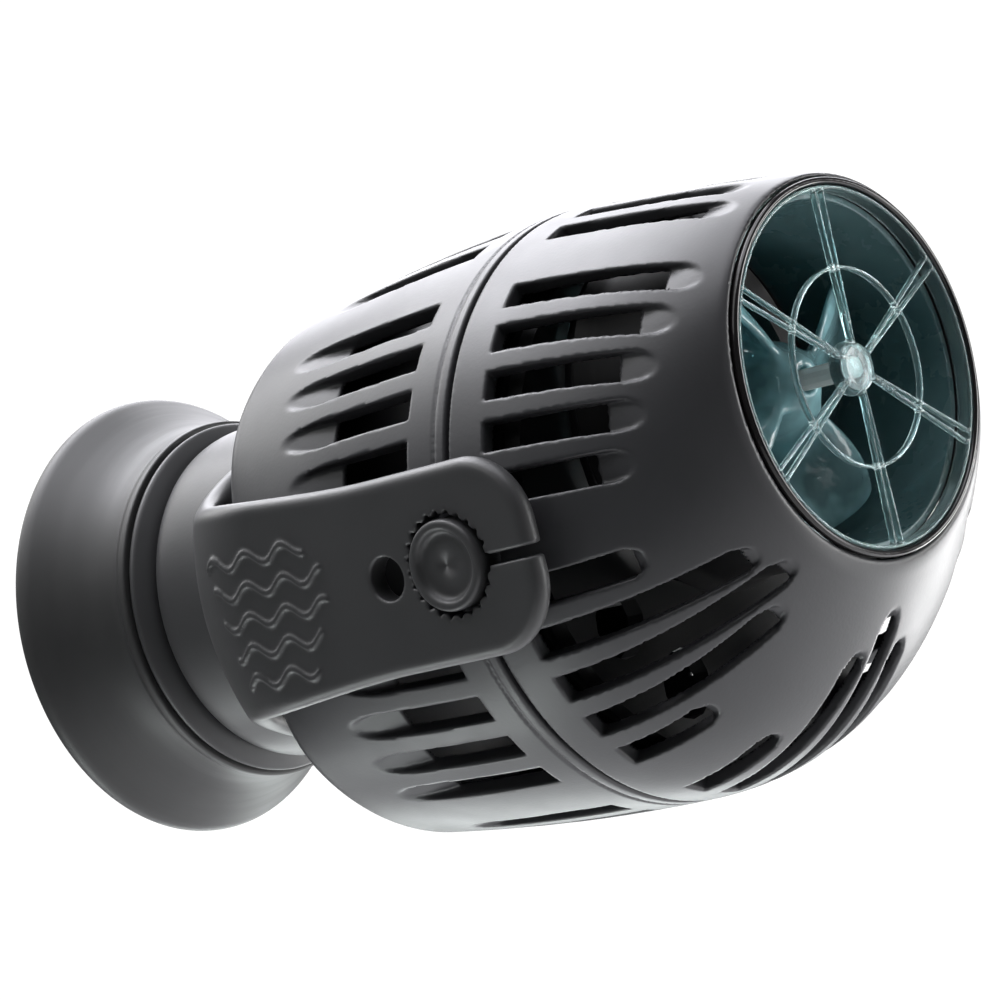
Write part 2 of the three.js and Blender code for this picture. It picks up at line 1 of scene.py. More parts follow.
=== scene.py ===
"""Aquarium wave maker pump: the looks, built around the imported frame.

Shapes are worked out in millimetres in the frame's own axes: +X from the glass into the tank,
Y along the tilt pivot, +Z up. Moulded pieces are distance fields, meshed by surface nets.
"""

import json
import math

import bmesh
import bpy
import numpy as np
from mathutils import Matrix, Vector


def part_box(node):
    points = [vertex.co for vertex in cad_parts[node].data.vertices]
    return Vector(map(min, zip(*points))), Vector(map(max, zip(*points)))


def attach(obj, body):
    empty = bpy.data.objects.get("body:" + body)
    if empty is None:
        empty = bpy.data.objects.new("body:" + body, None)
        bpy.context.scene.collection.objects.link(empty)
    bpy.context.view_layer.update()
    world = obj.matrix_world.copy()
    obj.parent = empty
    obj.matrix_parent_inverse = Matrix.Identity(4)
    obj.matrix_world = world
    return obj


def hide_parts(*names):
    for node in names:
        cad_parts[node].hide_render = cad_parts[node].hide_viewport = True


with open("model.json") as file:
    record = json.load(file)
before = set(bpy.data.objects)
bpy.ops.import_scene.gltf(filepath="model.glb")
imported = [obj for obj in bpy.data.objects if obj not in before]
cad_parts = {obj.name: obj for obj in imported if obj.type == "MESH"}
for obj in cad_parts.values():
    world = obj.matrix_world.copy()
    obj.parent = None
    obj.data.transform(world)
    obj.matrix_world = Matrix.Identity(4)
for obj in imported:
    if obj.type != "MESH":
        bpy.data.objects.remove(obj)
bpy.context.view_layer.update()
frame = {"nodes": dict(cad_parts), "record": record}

MM = 0.001


def low(node):
    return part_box(node)[0] / MM


def high(node):
    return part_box(node)[1] / MM


# ---- Sizes, from the frame ------------------------------------------------------------

JOINT_GAP = 0.15
SEAM_X = low("front_shell").x - JOINT_GAP
CASING_RADIUS = 34.0
NOSE_LENGTH = 32.3
MOUTH = high("front_shell").x - SEAM_X
OUTLET_RADIUS = (high("outlet_ring").y - low("outlet_ring").y) / 2
OUTLET_RISE = (high("outlet_ring").z + low("outlet_ring").z) / 2
REAR_LENGTH = SEAM_X - low("rear_shell").x
WALL = 2.0
MOUTH_WALL = 1.1
DUCT_RADIUS = (high("outlet_guard").y - low("outlet_guard").y) / 2
PIVOT_X = (low("pivot_pin_near").x + high("pivot_pin_near").x) / 2
PIVOT_Z = (low("pivot_pin_near").z + high("pivot_pin_near").z) / 2
ARM_OUTER_Y = high("bracket_fork").y
ARM_END_X = high("bracket_fork").x
NECK_X = low("bracket_fork").x

# How far apart the points of each moulded piece's mesh are.
SHELL_STEP = 0.32
FORK_STEP = 0.32
BLADE_STEP = 0.3
FINE_STEP = 0.22
# How far a mesh's grid reaches past its CAD node.
GRID_MARGIN = 0.5


# ---- Distance fields ------------------------------------------------------------------

def soft_max(a, b, blend):
    """The larger of two fields, with their crossing rounded over about this width."""
    overlap = np.maximum(blend - np.abs(a - b), 0) / blend
    return np.maximum(a, b) + overlap ** 2 * blend / 4


def soft_min(a, b, blend):
    return -soft_max(-a, -b, blend)


def slab(value, start, end):
    return np.maximum(start - value, value - end)


def round_box(a, b, half_a, half_b, radius):
    """A rectangle with round corners, in two coordinates measured from its middle."""
    over_a = np.abs(a) - half_a + radius
    over_b = np.abs(b) - half_b + radius
    outside = np.hypot(np.maximum(over_a, 0), np.maximum(over_b, 0))
    return outside + np.minimum(np.maximum(over_a, over_b), 0) - radius


def oval_corner(side, end, height, length):
    """Inside both fields, with the corner between them a quarter of an ellipse."""
    a = np.maximum(side / height + 1, 0)
    b = np.maximum(end / length + 1, 0)
    reach = np.hypot(a, b)
    slope = np.maximum(np.hypot(a / height, b / length), 1e-6)
    return np.where(reach > 0.2, (reach - 1) * reach / slope, np.maximum(side, end))


# ---- Meshing --------------------------------------------------------------------------

# The grid is sampled in cubes of this many points a side.
BLOCK = 8
NEAR_BLOCKS = 1.5
BLOCKS_AT_ONCE = 1500
SETTLE_ROUNDS = 3


def sample(distance, start, counts, step):
    """The field on a regular grid, worked out fully only in the blocks near its surface."""
    blocks = [-(-n // BLOCK) for n in counts]
    middle = [start[i] + (np.arange(blocks[i]) * BLOCK + (BLOCK - 1) / 2) * step for i in range(3)]
    coarse = distance(*np.meshgrid(*middle, indexing="ij"))
    field = np.repeat(np.repeat(np.repeat(coarse, BLOCK, 0), BLOCK, 1), BLOCK, 2)
    field = field.astype(np.float32)
    near = np.argwhere(np.abs(coarse) < BLOCK * step * NEAR_BLOCKS)
    inner = np.stack(np.meshgrid(*[np.arange(BLOCK)] * 3, indexing="ij"), -1).reshape(1, -1, 3)
    for part in np.array_split(near, max(1, len(near) // BLOCKS_AT_ONCE)):
        index = (part[:, None, :] * BLOCK + inner).reshape(-1, 3)
        point = np.asarray(start) + index * step
        field[tuple(index.T)] = distance(*point.T)
    return field


def settle(distance, points, step):
    """Moves points onto the surface along the field's gradient."""
    nudge = 0.2 * step
    for _ in range(SETTLE_ROUNDS):
        value = distance(*points.T)
        slope = np.empty_like(points)
        for axis in range(3):
            shift = np.zeros(3)
            shift[axis] = nudge
            ahead = distance(*(points + shift).T)
            slope[:, axis] = (ahead - distance(*(points - shift).T)) / (2 * nudge)
        steepness = np.maximum((slope ** 2).sum(1), 0.05)
        move = -(value / steepness)[:, None] * slope
        points = points + np.clip(move, -0.5 * step, 0.5 * step)
    return points


def moulded(name, distance, corner_low, corner_high, step):
    """A mesh of the surface where distance(x, y, z) is zero, made by surface nets."""
    start = np.asarray(corner_low, float) - 2 * step
    counts = [int((h - s) / step) + 3 for s, h in zip(start, corner_high)]
    field = sample(distance, start, counts, step)
    shape = np.array(field.shape)
    sums, cells = [], []
    for axis in range(3):
        u, v = (axis + 1) % 3, (axis + 2) % 3
        unit = np.eye(3, dtype=int)
        front = np.take(field, range(1, shape[axis]), axis)
        back = np.take(field, range(shape[axis] - 1), axis)
        edges = np.argwhere((back < 0) != (front < 0))
        edges = edges[(edges[:, u] > 0) & (edges[:, v] > 0)]
        first = field[tuple(edges.T)]
        second = field[tuple((edges + unit[axis]).T)]
        crossing = edges + (first / (first - second))[:, None] * unit[axis]
        around = [-unit[u] - unit[v], -unit[v], 0 * unit[u], -unit[u]]
        ring = np.stack([np.ravel_multi_index((edges + o).T, shape) for o in around], 1)
        ring[first >= 0] = ring[first >= 0][:, ::-1]
        cells.append(ring)
        sums.append(np.repeat(crossing, 4, 0))
    flat = np.concatenate([ring.ravel() for ring in cells])
    weight = np.concatenate(sums)
    place = np.unique(flat, return_inverse=True)[1]
    tally = np.bincount(place)
    middle = np.stack([np.bincount(place, weight[:, axis]) / tally for axis in range(3)], 1)
    points = settle(distance, start + middle * step, step)
    return mesh_object(name, points, place.reshape(-1, 4))


def mesh_object(name, points, faces):
    """A smooth-shaded object from points in millimetres and equal-sided faces."""
    mesh = bpy.data.meshes.new(name)
    faces = np.asarray(faces)
    sides = faces.shape[1]
    mesh.vertices.add(len(points))
    mesh.vertices.foreach_set("co", (np.asarray(points) * MM).astype(np.float32).ravel())
    mesh.loops.add(faces.size)
    mesh.loops.foreach_set("vertex_index", faces.astype(np.int32).ravel())
    mesh.polygons.add(len(faces))
    mesh.polygons.foreach_set("loop_start", np.arange(0, faces.size, sides, dtype=np.int32))
    mesh.update(calc_edges=True)
    mesh.validate()
    mesh.shade_smooth()
    piece = bpy.data.objects.new(name, mesh)
    bpy.context.scene.collection.objects.link(piece)
    return piece


# The part of a side that one corner's curve may take.
FILLET_SHARE = 0.45


def filleted(corners, steps=5):
    """A closed outline from (x, radius, fillet) corners, with each corner turned to a curve."""
    outline = []
    count = len(corners)
    for i, (x, y, fillet) in enumerate(corners):
        here = np.array([x, y])
        before = np.array(corners[i - 1][:2]) - here
        after = np.array(corners[(i + 1) % count][:2]) - here
        if fillet <= 0:
            outline.append(here)
            continue
        reach_before = min(fillet, np.linalg.norm(before) * FILLET_SHARE)
        reach_after = min(fillet, np.linalg.norm(after) * FILLET_SHARE)
        start = here + before / np.linalg.norm(before) * reach_before
        end = here + after / np.linalg.norm(after) * reach_after
        for t in np.linspace(0, 1, steps):
            outline.append((1 - t) ** 2 * start + 2 * t * (1 - t) * here + t ** 2 * end)
    return np.array(outline)


def turned(name, corners, segments=160, centre=(0, 0), steps=5):
    """A ring turned about a line along X from a closed outline of (x, radius, fillet)."""
    outline = filleted(corners, steps)
    count = len(outline)
    angle = np.arange(segments) * 2 * math.pi / segments
    x = np.tile(outline[:, 0], segments)
    radius = np.tile(outline[:, 1], segments)
    turn = np.repeat(angle, count)
    points = np.stack(
        [x, centre[0] + radius * np.cos(turn), centre[1] + radius * np.sin(turn)], 1)
    row, column = np.meshgrid(np.arange(segments), np.arange(count), indexing="ij")
    next_row = (row + 1) % segments
    next_column = (column + 1) % count
    faces = np.stack(
        [row * count + column, next_row * count + column,
         next_row * count + next_column, row * count + next_column], -1)
    return outward(mesh_object(name, points, faces.reshape(-1, 4)))


def outward(piece):
    """Turns a piece's faces to look outwards."""
    bm = bmesh.new()
    bm.from_mesh(piece.data)
    bmesh.ops.recalc_face_normals(bm, faces=bm.faces)
    bm.to_mesh(piece.data)
    bm.free()
    return piece


# ---- Casing ---------------------------------------------------------------------------

REAR_TAPER = 2.3
REAR_CORNER = (5.5, 3.6)
REAR_SAG = 0.024
# The casing is slimmer beside the fork's bends, over the middle of its height.
CHEEK_DEPTH, CHEEK_HALF, CHEEK_START, CHEEK_RUN = 1.9, 15.0, 18.0, 20.0
# How steeply the nose's top and bottom outlines run, at the seam and at the mouth.
TOP_SLOPES = (-0.105, -0.206)
BOTTOM_SLOPES = (0.026, 1.614)
# The nose's outline is used this far past the seam and the mouth, and held beyond that.
PAST_SEAM, PAST_MOUTH = 3, 2
PROBE = 0.1


def ease(x, start, end, slopes):
    """A cubic along the nose between two heights, with given slopes at its ends."""
    t = x / NOSE_LENGTH
    rise = (2 * t ** 3 - 3 * t ** 2 + 1) * start + (t ** 3 - 2 * t ** 2 + t) * NOSE_LENGTH * slopes[0]
    return rise + (3 * t ** 2 - 2 * t ** 3) * end + (t ** 3 - t ** 2) * NOSE_LENGTH * slopes[1]


def nose_section(x):
    """The nose's radius and its middle's height, at a distance from the seam."""
    top = ease(x, CASING_RADIUS, OUTLET_RISE + OUTLET_RADIUS, TOP_SLOPES)
    bottom = ease(x, -CASING_RADIUS, OUTLET_RISE - OUTLET_RADIUS, BOTTOM_SLOPES)
    return (top - bottom) / 2, (top + bottom) / 2


def nose(x, y, z):
    """Distance outside the front casing's skin, with x counted from the seam."""
    x = np.clip(x, -PAST_SEAM, NOSE_LENGTH + PAST_MOUTH)
    radius, rise = nose_section(x)
    ahead, rise_ahead = nose_section(x + PROBE)
    reach = np.hypot(y, z - rise)
    upward = (z - rise) / np.maximum(reach, 1e-6)
    slope = (ahead - radius) / PROBE + (rise_ahead - rise) / PROBE * upward
    return (reach - radius) / np.sqrt(1 + slope ** 2)


def drum(x, y, z, inset=0.0):
    """Distance outside the rear casing's skin, with x counted back from the seam."""
    back = x / (REAR_LENGTH - REAR_CORNER[1])
    radius = CASING_RADIUS - REAR_TAPER * np.minimum(back, 1) ** 2
    beside = np.clip((x - CHEEK_START) / CHEEK_RUN, 0, 1) ** 2
    cheek = CHEEK_DEPTH * np.exp(-(z / CHEEK_HALF) ** 4) * beside
    side = np.hypot(y, z + REAR_SAG * x) - radius + cheek + inset
    end = x - REAR_LENGTH + inset
    return oval_corner(side, end, REAR_CORNER[0] - inset, REAR_CORNER[1] - inset)


SLOT_HALF = 1.65
SLOT_PITCH = 10
SCOOP_PART = 0.75  # of the wall
SCOOP_EDGE = 0.4
SCOOP_LIFT = -0.3
START_EDGE = 0.15
NO_SLOT = -99.0
# How far from the seam the slots start, how long their scoops are, and how long their round
# tips. The upper and far front slots have longer scoops than the near lower ones.
FRONT_START, FRONT_TIP = 5.0, 3.2
LONG_SCOOP, SHORT_SCOOP, FAR_SIDE = 4.8, 1.8, 8
REAR_START, REAR_SCOOP, REAR_TIP = 6.0, 8.0, 7.5
# Where each group's slots run out, from the lowest angle to the highest; angles count from
# the near pivot (-Y) up towards +Z, and the far side mirrors the near one.
FRONT_GROUPS = {
    30: (22.4, 24.1, 25.5, 27.2, 29.2),
    -30: (17.0, 27.2, 30.0, 28.6, 20.4),
    90: (29.2, 27.6, 26.8, 27.6, 29.2),
    -90: (17.0, 26.0, 29.0, 26.0, 17.0),
}
REAR_GROUPS = {
    30: (24.0, 25.5, 27.5, 28.5, 29.5),
    -30: (29.5, 28.5, 27.5, 25.5, 24.0),
    90: (29.5, 29.0, 29.0, 29.0, 29.5),
    -90: (29.5, 29.0, 29.0, 29.0, 29.5),
}


def slot_ends(groups):
    """Where the slot at each step of SLOT_PITCH round the casing runs out."""
    ends = np.full(360 // SLOT_PITCH, NO_SLOT)
    for middle, group in groups.items():
        for i, end in enumerate(group):
            angle = middle + (i - 2) * SLOT_PITCH
            ends[angle // SLOT_PITCH % len(ends)] = end
            ends[(180 - angle) // SLOT_PITCH % len(ends)] = end
    return ends


FRONT_ENDS = slot_ends(FRONT_GROUPS)
REAR_ENDS = slot_ends(REAR_GROUPS)


def slots(x, y, z, depth, wall, ends, start, scoop, tip):
    """The intake slots: a through-cut, square at the seam end, and a scoop that runs out."""
    number = np.round(np.degrees(np.arctan2(z, -y)) / SLOT_PITCH).astype(int) % len(ends)
    turn = np.radians(number * SLOT_PITCH)
    across = y * np.sin(turn) + z * np.cos(turn)
    left = ends[number] - x
    beyond = np.maximum(tip - left, 0) / tip
    plan = (np.hypot(beyond, across / SLOT_HALF) - 1) * SLOT_HALF
    floor = depth - SCOOP_PART * wall * np.clip(left / scoop, SCOOP_LIFT, 1)
    through = np.maximum(np.abs(across) - SLOT_HALF, scoop - left)
    cut = np.minimum(soft_max(plan, floor, SCOOP_EDGE), through)
    return soft_max(cut, start - x, START_EDGE)


PIN_HOLE = 2.7
LIP_RADIUS = 20.9
LIP_SEAT_GAP = 0.08
NOSE_END = NOSE_LENGTH - 0.1
NOSE_EDGE = 1.2
# Each shell starts this far from the seam's middle.
SEAM_GAP, SEAM_EDGE = 0.3, 0.35
CUT_EDGE = 0.22
SCORE_X, SCORE_RADIUS, SCORE_EDGE = 1.9, 0.22, 0.15
LIP_BORE = DUCT_RADIUS + 0.12
LIP_BACK, LIP_FRONT = SEAM_X + MOUTH + 0.1, SEAM_X + NOSE_LENGTH + 0.25
LIP_EDGE = 0.6


def pin_hole(x, z):
    return np.hypot(x - (PIVOT_X - SEAM_X), z - PIVOT_Z) - PIN_HOLE


def front_distance(x, y, z):
    x = x - SEAM_X
    skin = nose(x, y, z)
    wall = WALL + (MOUTH_WALL - WALL) * np.clip(x / MOUTH, 0, 1)
    shell = np.maximum(skin, -skin - wall)
    seat = np.maximum(np.hypot(y, z - OUTLET_RISE) - LIP_RADIUS - LIP_SEAT_GAP, MOUTH - x)
    shell = soft_max(np.maximum(shell, -seat), x - NOSE_END, NOSE_EDGE)
    shell = soft_max(shell, SEAM_GAP - x, SEAM_EDGE)
    scoop = np.where((z > 0) | (y > FAR_SIDE), LONG_SCOOP, SHORT_SCOOP)
    cuts = slots(x, y, z, -skin, wall, FRONT_ENDS, FRONT_START, scoop, FRONT_TIP)
    cuts = np.minimum(cuts, pin_hole(x, z))
    return soft_max(shell, -cuts, CUT_EDGE)


def rear_distance(x, y, z):
    x = SEAM_X - x
    skin = drum(x, y, z)
    shell = np.maximum(skin, -drum(x, y, z, WALL))
    shell = soft_max(shell, SEAM_GAP - x, SEAM_EDGE)
    cuts = slots(x, y, z, -skin, WALL, REAR_ENDS, REAR_START, REAR_SCOOP, REAR_TIP)
    cuts = np.minimum(cuts, pin_hole(-x, z))
    score = np.hypot(x - SCORE_X, skin) - SCORE_RADIUS
    return soft_max(soft_max(shell, -cuts, CUT_EDGE), -score, SCORE_EDGE)


def outlet_lip_distance(x, y, z):
    body = slab(np.hypot(y, z - OUTLET_RISE), LIP_BORE, LIP_RADIUS)
    return soft_max(body, slab(x, LIP_BACK, LIP_FRONT), LIP_EDGE)


# ---- Bracket --------------------------------------------------------------------------

ARM_THICKNESS = 2.8
FORK_BEND, BEND_SPREAD = 17.0, 3.2
WEB_X = 32.6
WEB_INNER_X = 35.3
ARM_TOP, ARM_BOTTOM = 10.1, -11.4
ARM_CORNER, ARM_EDGE = 8.0, 1.7
# The arms are taller near the web, and the web is tallest at its middle.
ROOT_SPREAD, ROOT_START, ROOT_RUN = 1.6, 8, 30
FLARE_HEIGHT, FLARE_REACH, FLARE_SHARPNESS = 7.4, 33.0, 1.5
# The fork's plan runs on past the arms' ends, and its side view runs back past the glass.
FAR_END, FAR_LENGTH = 200.0, 400.0
NECK_RADIUS, NECK_BLEND = 20.3, 2.4
NECK_FOOT, FOOT_RUN = 0.9, 1.2
NECK_EDGE, WEB_EDGE = 0.9, 2.2
HOLLOW_RADIUS, HOLLOW_END = 17.0, 27.0
RECESS_RADIUS, RECESS_START = 8.2, 31.8
BORE_RADIUS, BORE_EDGE = 5.3, 0.5
HEAD_HOLE, HOLE_EDGE = 5.45, 0.35
ARMS_FROM_Y = 25
SLIT_Z, SLIT_HALF = -1.2, 0.6
RELIEF_X, RELIEF_RADIUS = 70.9, 2.4
TOOTH_COUNT, TOOTH_DEPTH = 24, 0.45
WAVE_ROWS = (5.0, 1.6, -1.8, -5.2, -8.6)
WAVE_HEIGHT, WAVE_HALF = 0.3, 0.42
WAVE_START, WAVE_END = 44.0, 62.5
WAVE_SWING, WAVE_RATE, WAVE_LAG = 0.75, 1.1, 0.8
# Each row starts a little further in, and rows end sooner away from the longest place, which
# falls between two rows.
ROW_INDENT, ROW_TRIM, LONGEST_ROW = 0.6, 1.9, 1.5


def wave_relief(x, z):
    """Raised wavy lines on the arm's face, as a height."""
    relief = 0.0
    for row, level in enumerate(WAVE_ROWS):
        crest = level + WAVE_SWING * np.sin((x - WAVE_START) * WAVE_RATE + row * WAVE_LAG)
        start = WAVE_START + ROW_INDENT * row
        end = WAVE_END - ROW_TRIM * abs(row - LONGEST_ROW)
        line = np.hypot(z - crest, np.maximum(slab(x, start, end), 0))
        relief = np.maximum(relief, WAVE_HEIGHT * np.exp(-(line / WAVE_HALF) ** 4))
    return relief


def arm_distance(x, y, z):
    bend = FORK_BEND + BEND_SPREAD * np.minimum((z / ARM_TOP) ** 2, 1.4)
    plan = round_box(x - (WEB_X + FAR_END) / 2, y, (FAR_END - WEB_X) / 2, ARM_OUTER_Y, bend)
    band = np.maximum(plan - wave_relief(x, z), -plan - ARM_THICKNESS)
    t = np.clip((x - WEB_X - ROOT_START) / ROOT_RUN, 0, 1)
    spread = ROOT_SPREAD * (1 - t * t * (3 - 2 * t))
    falloff = np.cos(np.minimum(np.abs(y) / FLARE_REACH, 1) * math.pi / 2)
    flare = FLARE_HEIGHT * falloff ** FLARE_SHARPNESS
    middle = (ARM_TOP + ARM_BOTTOM) / 2
    half = (ARM_TOP - ARM_BOTTOM) / 2 + spread + flare
    side = round_box(x - ARM_END_X + FAR_LENGTH, z - middle, FAR_LENGTH, half, ARM_CORNER)
    return soft_max(band, side, ARM_EDGE)


def neck_distance(x, y, z):
    reach = np.hypot(y, z)
    foot = np.exp(-np.maximum(x - NECK_X, 0) / FOOT_RUN)
    radial = reach - NECK_RADIUS + NECK_FOOT * foot
    return soft_max(soft_max(radial, x - WEB_INNER_X, WEB_EDGE), NECK_X - x, NECK_EDGE)


def fork_distance(x, y, z):
    reach = np.hypot(y, z)
    solid = soft_min(arm_distance(x, y, z), neck_distance(x, y, z), NECK_BLEND)
    hollow = np.maximum(reach - HOLLOW_RADIUS, x - HOLLOW_END)
    recess = np.maximum(reach - RECESS_RADIUS, RECESS_START - x)
    bore = reach - BORE_RADIUS
    solid = soft_max(solid, -np.minimum(np.minimum(hollow, recess), bore), BORE_EDGE)
    around = np.arctan2(z - PIVOT_Z, x - PIVOT_X)
    tooth = TOOTH_DEPTH * np.maximum(np.cos(around * TOOTH_COUNT), -0.1)
    pin = np.hypot(x - PIVOT_X, z - PIVOT_Z) - HEAD_HOLE - tooth
    relief = np.hypot(x - RELIEF_X, z - PIVOT_Z) - RELIEF_RADIUS
    slit = np.maximum(np.abs(z - SLIT_Z) - SLIT_HALF, PIVOT_X - x)
    holes = np.maximum(np.minimum(np.minimum(pin, relief), slit), ARMS_FROM_Y - np.abs(y))
    return soft_max(solid, -holes, HOLE_EDGE)


# ---- Materials ------------------------------------------------------------------------

def material(name):
    """A new material, with its node tree and its shader."""
    made = bpy.data.materials.new(name)
    made.use_nodes = True
    return made, made.node_tree, made.node_tree.nodes["Principled BSDF"]


def node(tree, kind, inputs=None, **settings):
    made = tree.nodes.new(kind)
    for key, value in settings.items():
        setattr(made, key, value)
    for key, value in (inputs or {}).items():
        made.inputs[key].default_value = value
    return made


def noise(tree, scale, detail=4.0, roughness=0.5, stretch=(1, 1, 1)):
    place = node(tree, "ShaderNodeTexCoord")
    mapping = node(tree, "ShaderNodeMapping", {"Scale": stretch})
    texture = node(tree, "ShaderNodeTexNoise",
                   {"Scale": scale, "Detail": detail, "Roughness": roughness})
    tree.links.new(place.outputs["Object"], mapping.inputs["Vector"])
    tree.links.new(mapping.outputs["Vector"], texture.inputs["Vector"])
    return texture.outputs["Fac"]


def ramp(tree, source, stops):
    made = node(tree, "ShaderNodeValToRGB")
    elements = made.color_ramp.elements
    while len(elements) < len(stops):
        elements.new(0.5)
    for element, (position, colour) in zip(elements, stops):
        element.position = position
        element.color = (*colour, 1) if len(colour) == 3 else colour
    tree.links.new(source, made.inputs["Fac"])
    return made.outputs["Color"]


def spread_value(tree, source, start, end):
    made = node(tree, "ShaderNodeMapRange", {"To Min": start, "To Max": end})
    tree.links.new(source, made.inputs["Value"])
    return made.outputs["Result"]


def bump(tree, shader, source, distance, strength=1.0):
    made = node(tree, "ShaderNodeBump", {"Distance": distance, "Strength": strength})
    tree.links.new(source, made.inputs["Height"])
    tree.links.new(made.outputs["Normal"], shader.inputs["Normal"])


def grained_plastic(name, dark, light, rough=(0.34, 0.46), grain=2600, depth=0.00001):
    """Moulded plastic: fine spark-eroded grain, faint cloudiness in colour and gloss."""
    made, tree, shader = material(name)
    cloud = noise(tree, 45, 3.0)
    tree.links.new(ramp(tree, cloud, [(0.3, dark), (0.7, light)]), shader.inputs["Base Color"])
    patches = noise(tree, 160, 5.0, 0.6)
    tree.links.new(spread_value(tree, patches, *rough), shader.inputs["Roughness"])
    bump(tree, shader, noise(tree, grain, 2.0), depth)
    return made


def casing_plastic():
    return grained_plastic("casing_plastic", (0.036, 0.036, 0.039), (0.046, 0.046, 0.050))


def bracket_plastic():
    return grained_plastic("bracket_plastic", (0.040, 0.040, 0.042), (0.052, 0.052, 0.054),
                           rough=(0.36, 0.48))


def gloss_black():
    made, tree, shader = material("gloss_black")
    cloud = noise(tree, 90, 3.0)
    tree.links.new(ramp(tree, cloud, [(0.3, (0.006, 0.005, 0.006)), (0.7, (0.012, 0.010, 0.011))]),
                   shader.inputs["Base Color"])
    tree.links.new(spread_value(tree, noise(tree, 240, 4.0), 0.1, 0.2), shader.inputs["Roughness"])
    return made


def black_resin_and_painted_shade():
    """Dull black: the black resin parts and the duct's outside, and painted shade on the casing
    shells' insides seen through the slots.
    """
    made = grained_plastic("black_resin_and_painted_shade", (0.005, 0.005, 0.0055), (0.009, 0.009, 0.0095),
                           rough=(0.45, 0.6))
    shader = made.node_tree.nodes["Principled BSDF"]
    shader.inputs["Specular IOR Level"].default_value = 0.18
    return made


def cup_rubber():
    """Soft rubber with turned streaks that run around the cup."""
    made, tree, shader = material("cup_rubber")
    streak = noise(tree, 700, 3.0, 0.6, (1.0, 0.06, 0.06))
    cloud = noise(tree, 60, 4.0)
    tree.links.new(ramp(tree, cloud, [(0.3, (0.026, 0.026, 0.027)), (0.7, (0.038, 0.038, 0.038))]),
                   shader.inputs["Base Color"])
    tree.links.new(spread_value(tree, streak, 0.38, 0.56), shader.inputs["Roughness"])
    bump(tree, shader, streak, 0.00003)
    return made


def seal_rubber():
    return grained_plastic("seal_rubber", (0.012, 0.012, 0.012), (0.02, 0.02, 0.02),
                           rough=(0.6, 0.8))


def clear_teal(name, tint, roughness, transmission, contrast=1.25):
    made, tree, shader = material(name)
    cloud = noise(tree, 130, 3.0)
    pale = tuple(min(1, c * contrast) for c in tint)
    tree.links.new(ramp(tree, cloud, [(0.38, tint), (0.62, pale)]), shader.inputs["Base Color"])
    tree.links.new(spread_value(tree, noise(tree, 300, 3.0), roughness * 0.6, roughness * 1.4),
                   shader.inputs["Roughness"])
    shader.inputs["Transmission Weight"].default_value = transmission
    shader.inputs["IOR"].default_value = 1.49
    bump(tree, shader, noise(tree, 180, 3.0), 0.0003)
    return made


def metal(name, dark, light, rough):
    made, tree, shader = material(name)
    tree.links.new(ramp(tree, noise(tree, 400, 4.0), [(0.3, dark), (0.7, light)]),
                   shader.inputs["Base Color"])
    tree.links.new(spread_value(tree, noise(tree, 900, 4.0), *rough), shader.inputs["Roughness"])
    shader.inputs["Metallic"].default_value = 1.0
    return made


MATERIALS = {
    "casing_plastic": casing_plastic(),
    "bracket_plastic": bracket_plastic(),
    "gloss_black": gloss_black(),
    "black_resin": black_resin_and_painted_shade(),
    "clear_teal": clear_teal("clear_teal", (0.62, 0.82, 0.85), 0.2, 0.93),
    "cup_rubber": cup_rubber(),
    "seal_rubber": seal_rubber(),
    "magnet_metal": metal("magnet_metal", (0.12, 0.12, 0.125), (0.2, 0.2, 0.2), (0.4, 0.6)),
    "stainless_steel": metal("stainless_steel", (0.5, 0.5, 0.51), (0.62, 0.62, 0.63), (0.2, 0.35)),
    "lamination_steel": metal("lamination_steel", (0.3, 0.3, 0.3), (0.4, 0.4, 0.4), (0.35, 0.5)),
    "copper_wire": metal("copper_wire", (0.5, 0.2, 0.08), (0.65, 0.3, 0.13), (0.25, 0.4)),
    "white_ceramic": grained_plastic("white_ceramic", (0.7, 0.7, 0.68), (0.8, 0.8, 0.78),
                                     rough=(0.15, 0.25)),
}


# The blades are tinted plastic, and the duct's inside gets painted teal haze; together they make the
# outlet hazy teal inside.
DUCT_PAINTED_HAZE = grained_plastic("duct_painted_haze", (0.036, 0.080, 0.086), (0.140, 0.230, 0.240),
                                rough=(0.2, 0.34))
BLADE_MATERIAL = clear_teal("blade_teal", (0.15, 0.27, 0.29), 0.08, 0.55, 3.2)


# How deep the painted teal haze on the motor's front face goes.
PAINTED_HAZE_DEPTH = 0.8


def motor_plastic_with_painted_haze():
    """Black plastic, with painted teal haze on the face towards the propeller."""
    made = grained_plastic("motor_plastic_with_painted_haze", (0.006, 0.006, 0.007), (0.010, 0.010, 0.011),
                           rough=(0.35, 0.5))
    tree = made.node_tree
    shader = tree.nodes["Principled BSDF"]
    black = shader.inputs["Base Color"].links[0].from_socket
    # Painted haze: teal on the front face, as if lit through the tinted blades.
    teal = ramp(tree, noise(tree, 110, 4.0), [(0.35, (0.045, 0.095, 0.10)),
                                              (0.65, (0.17, 0.28, 0.29))])
    place = node(tree, "ShaderNodeTexCoord")
    split = node(tree, "ShaderNodeSeparateXYZ")
    face_x = high("motor_can").x
    front = node(tree, "ShaderNodeMapRange",
                 {"From Min": (face_x - PAINTED_HAZE_DEPTH) * MM, "From Max": face_x * MM})
    mix = node(tree, "ShaderNodeMix", data_type="RGBA")
    tree.links.new(place.outputs["Object"], split.inputs[0])
    tree.links.new(split.outputs["X"], front.inputs["Value"])
    tree.links.new(front.outputs["Result"], mix.inputs["Factor"])
    tree.links.new(black, mix.inputs[6])
    tree.links.new(teal, mix.inputs[7])
    tree.links.new(mix.outputs[2], shader.inputs["Base Color"])
    return made


MOTOR_WITH_PAINTED_HAZE = motor_plastic_with_painted_haze()


# ---- Riding, slots, painted shade and painted haze ------------------------------------

